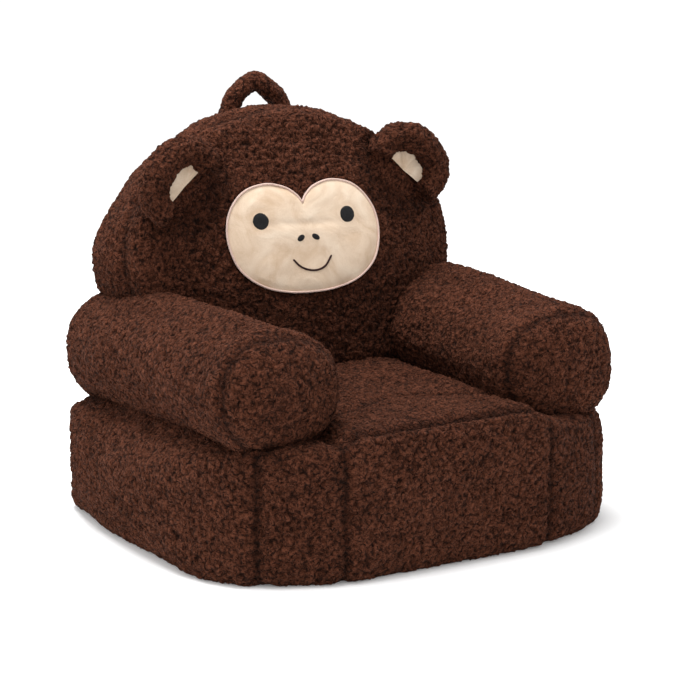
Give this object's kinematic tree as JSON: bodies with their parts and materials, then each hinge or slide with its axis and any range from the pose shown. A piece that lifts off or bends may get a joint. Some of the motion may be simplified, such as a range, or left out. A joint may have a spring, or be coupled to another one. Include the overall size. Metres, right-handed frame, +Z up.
{
  "type": "toddler's plush armchair",
  "caption": "Toddler's low armchair in the form of a monkey: curly plush over foam, face and ears on the back, rounded arms and a carry loop.",
  "frame": {"origin": "on the floor, under the middle of the chair's bounding box", "axes": "+Z up, -Y out of the front of the seat, +X to the right seen from the front"},
  "size_m": [0.5414, 0.467, 0.503],
  "materials": {
    "sherpa": "curly, matte",
    "cream_plush": "short nap",
    "edge_thread": "satin thread",
    "black_thread": "satin thread",
    "mouth_thread": "satin thread",
    "foam": "open cell, matte",
    "fibre_fill": "loose fibre",
    "underside_fabric": "matte weave"
  },
  "bodies": {
    "chair": {"seat_foam": "foam", "seat_front_panel": "sherpa", "seat_corner_panel_left": "sherpa", "seat_corner_panel_right": "sherpa", "seat_side_panel_left": "sherpa", "seat_side_panel_right": "sherpa", "seat_back_panel": "sherpa", "seat_top_panel": "sherpa", "seat_bottom_panel": "underside_fabric", "arm_foam_left": "foam", "arm_foam_right": "foam", "arm_cover_left": "sherpa", "arm_cover_right": "sherpa", "arm_front_cap_left": "sherpa", "arm_front_cap_right": "sherpa", "arm_rear_cap_left": "sherpa", "arm_rear_cap_right": "sherpa", "head_foam": "foam", "head_front_panel": "sherpa", "head_gusset": "sherpa", "head_rear_panel": "sherpa", "face_plush": "cream_plush", "face_edge_stitch": "edge_thread", "eye_left": "black_thread", "eye_right": "black_thread", "nostril_left": "black_thread", "nostril_right": "black_thread", "mouth_stitch": "mouth_thread"},
    "ear_left": {"ear_shell_left": "sherpa", "ear_fill_left": "fibre_fill", "ear_lining_left": "cream_plush"},
    "ear_right": {"ear_shell_right": "sherpa", "ear_fill_right": "fibre_fill", "ear_lining_right": "cream_plush"},
    "handle": {"carry_handle": "sherpa"}
  },
  "joints": [
    {"name": "ear_left_flop", "type": "hinge", "parent": "chair", "child": "ear_left", "pos_m": [-0.148, 0.1155, 0.39], "axis": [0.7431, 0.0931, 0.6626], "range_deg": [-12, 30], "stiffness_Nm_per_rad": 0.05},
    {"name": "ear_right_flop", "type": "hinge", "parent": "chair", "child": "ear_right", "pos_m": [0.148, 0.1155, 0.39], "axis": [0.7431, -0.0931, -0.6626], "range_deg": [-12, 30], "stiffness_Nm_per_rad": 0.05},
    {"name": "handle_swing", "type": "hinge", "parent": "chair", "child": "handle", "pos_m": [0, 0.2155, 0.455], "axis": [1, 0, 0], "range_deg": [-60, 20], "stiffness_Nm_per_rad": 0.03}
  ]
}
